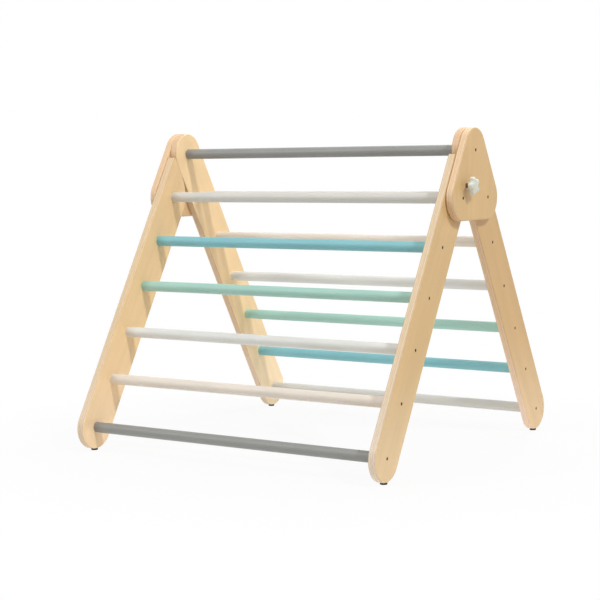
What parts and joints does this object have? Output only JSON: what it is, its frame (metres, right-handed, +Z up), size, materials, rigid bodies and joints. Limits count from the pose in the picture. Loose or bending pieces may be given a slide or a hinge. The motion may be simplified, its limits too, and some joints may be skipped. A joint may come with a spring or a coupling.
{
  "type": "folding climbing triangle",
  "caption": "A-frame climbing triangle for toddlers: two ladders of painted rungs in plywood rails, hinged between rounded plates and held open by screw knobs.",
  "frame": {"origin": "on the floor, at the middle of the four feet", "axes": "+X along the rungs, +Y from the front ladder to the back ladder, +Z up"},
  "size_m": [0.8974, 0.8643, 0.753],
  "materials": {
    "ply_back_rail": "clear satin lacquer on birch plywood",
    "ply_front_rail": "clear satin lacquer on birch plywood",
    "ply_hinge_plate": "clear satin lacquer on birch plywood",
    "paint_dark_grey": "satin paint on a beech dowel",
    "paint_light_grey": "satin paint on a beech dowel",
    "paint_beige": "satin paint on a beech dowel",
    "paint_mint": "satin paint on a beech dowel",
    "paint_blue": "satin paint on a beech dowel",
    "screw_steel": "dark oxide",
    "zinc_steel": "bright zinc",
    "nylon": "natural nylon",
    "knob_plastic": "satin moulded",
    "foot_rubber": "matt"
  },
  "bodies": {
    "back_ladder": {"top_rung": "paint_dark_grey", "back_rung_1": "paint_light_grey", "back_rung_2": "paint_beige", "back_rung_3": "paint_light_grey", "back_rung_4": "paint_mint", "back_rung_5": "paint_blue", "back_rung_6": "paint_light_grey", "back_rail_right": "ply_back_rail", "hinge_plate_right": "ply_hinge_plate", "lock_insert_right": "zinc_steel", "back_screws_right": "screw_steel", "plate_screws_right": "screw_steel", "back_foot_right": "foot_rubber", "back_rail_left": "ply_back_rail", "hinge_plate_left": "ply_hinge_plate", "lock_insert_left": "zinc_steel", "back_screws_left": "screw_steel", "plate_screws_left": "screw_steel", "back_foot_left": "foot_rubber"},
    "front_ladder": {"front_rung_1": "paint_light_grey", "front_rung_2": "paint_blue", "front_rung_3": "paint_mint", "front_rung_4": "paint_light_grey", "front_rung_5": "paint_beige", "front_rung_6": "paint_dark_grey", "front_rail_right": "ply_front_rail", "pivot_screw_right": "screw_steel", "pivot_washer_right": "nylon", "front_screws_right": "screw_steel", "front_foot_right": "foot_rubber", "front_rail_left": "ply_front_rail", "pivot_screw_left": "screw_steel", "pivot_washer_left": "nylon", "front_screws_left": "screw_steel", "front_foot_left": "foot_rubber"},
    "lock_washer_right": {"lock_washer_right": "zinc_steel"},
    "lock_knob_right": {"lock_knob_right": "knob_plastic", "lock_stud_right": "screw_steel"},
    "lock_washer_left": {"lock_washer_left": "zinc_steel"},
    "lock_knob_left": {"lock_knob_left": "knob_plastic", "lock_stud_left": "screw_steel"}
  },
  "joints": [
    {"name": "fold", "type": "hinge", "parent": "back_ladder", "child": "front_ladder", "pos_m": [0, -0.06344, 0.59382], "axis": [1, 0, 0], "range_deg": [0, 61]},
    {"name": "lock_right_advance", "type": "slide", "parent": "back_ladder", "child": "lock_washer_right", "axis": [1, 0, 0], "range_m": [0, 0.005]},
    {"name": "lock_right_turn", "type": "hinge", "parent": "lock_washer_right", "child": "lock_knob_right", "pos_m": [0.425, -0.0472, 0.62139], "axis": [1, 0, 0], "range_deg": [0, 1440]},
    {"name": "lock_left_advance", "type": "slide", "parent": "back_ladder", "child": "lock_washer_left", "axis": [-1, 0, 0], "range_m": [0, 0.005]},
    {"name": "lock_left_turn", "type": "hinge", "parent": "lock_washer_left", "child": "lock_knob_left", "pos_m": [-0.425, -0.0472, 0.62139], "axis": [-1, 0, 0], "range_deg": [0, 1440]}
  ],
  "couplings": [
    {"joint": "lock_right_advance", "follows": "lock_right_turn", "m_per_rad": 0.00019894},
    {"joint": "lock_left_advance", "follows": "lock_left_turn", "m_per_rad": 0.00019894}
  ]
}
